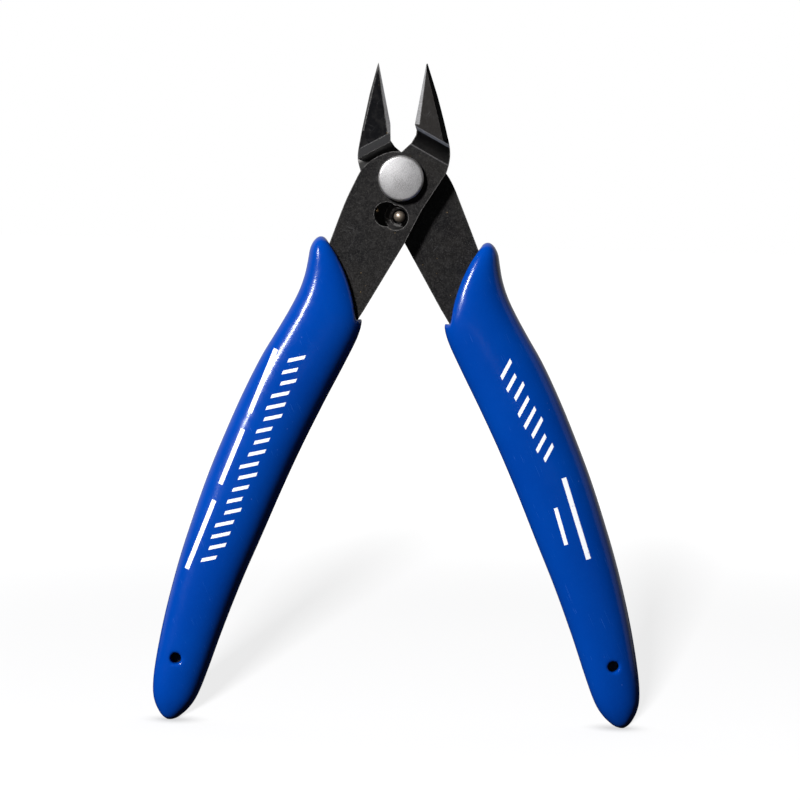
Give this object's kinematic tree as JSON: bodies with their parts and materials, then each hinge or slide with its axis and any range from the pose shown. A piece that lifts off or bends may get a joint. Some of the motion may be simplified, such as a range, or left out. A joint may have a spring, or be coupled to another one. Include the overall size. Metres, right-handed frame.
{
  "type": "flush cutter",
  "caption": "Small flush cutter for electronics: lapped black steel arms on a bright rivet, pointed jaws held open by a hidden spring, curved blue dipped grips.",
  "frame": {"origin": "on the pivot axis, midway between the two plates", "axes": "+Z towards the jaws between the open handles, +X to the right seen from the rivet head's side, +Y away from the rivet head"},
  "size_m": [0.0906, 0.0118, 0.1229],
  "materials": {
    "black_steel": "black oxide, faintly speckled, worn bright on the edges",
    "bright_steel": "satin turned steel",
    "spring_wire": "oiled spring wire, brownish",
    "post_metal": "polished ball end, warm grey",
    "blue_vinyl": "glossy dipped vinyl"
  },
  "bodies": {
    "front": {"front_arm": "black_steel", "left_grip": "blue_vinyl", "rivet": "bright_steel", "rivet_collar": "bright_steel", "return_spring": "spring_wire"},
    "rear": {"rear_arm": "black_steel", "right_grip": "blue_vinyl", "spring_post": "post_metal"}
  },
  "joints": [
    {"name": "pivot", "type": "hinge", "parent": "front", "child": "rear", "pos_m": [0, 0, 0], "axis": [0, 1, 0], "range_deg": [0, 23.4], "stiffness_Nm_per_rad": 0.3, "springref_deg": -40.11, "deforming": ["return_spring"]}
  ]
}
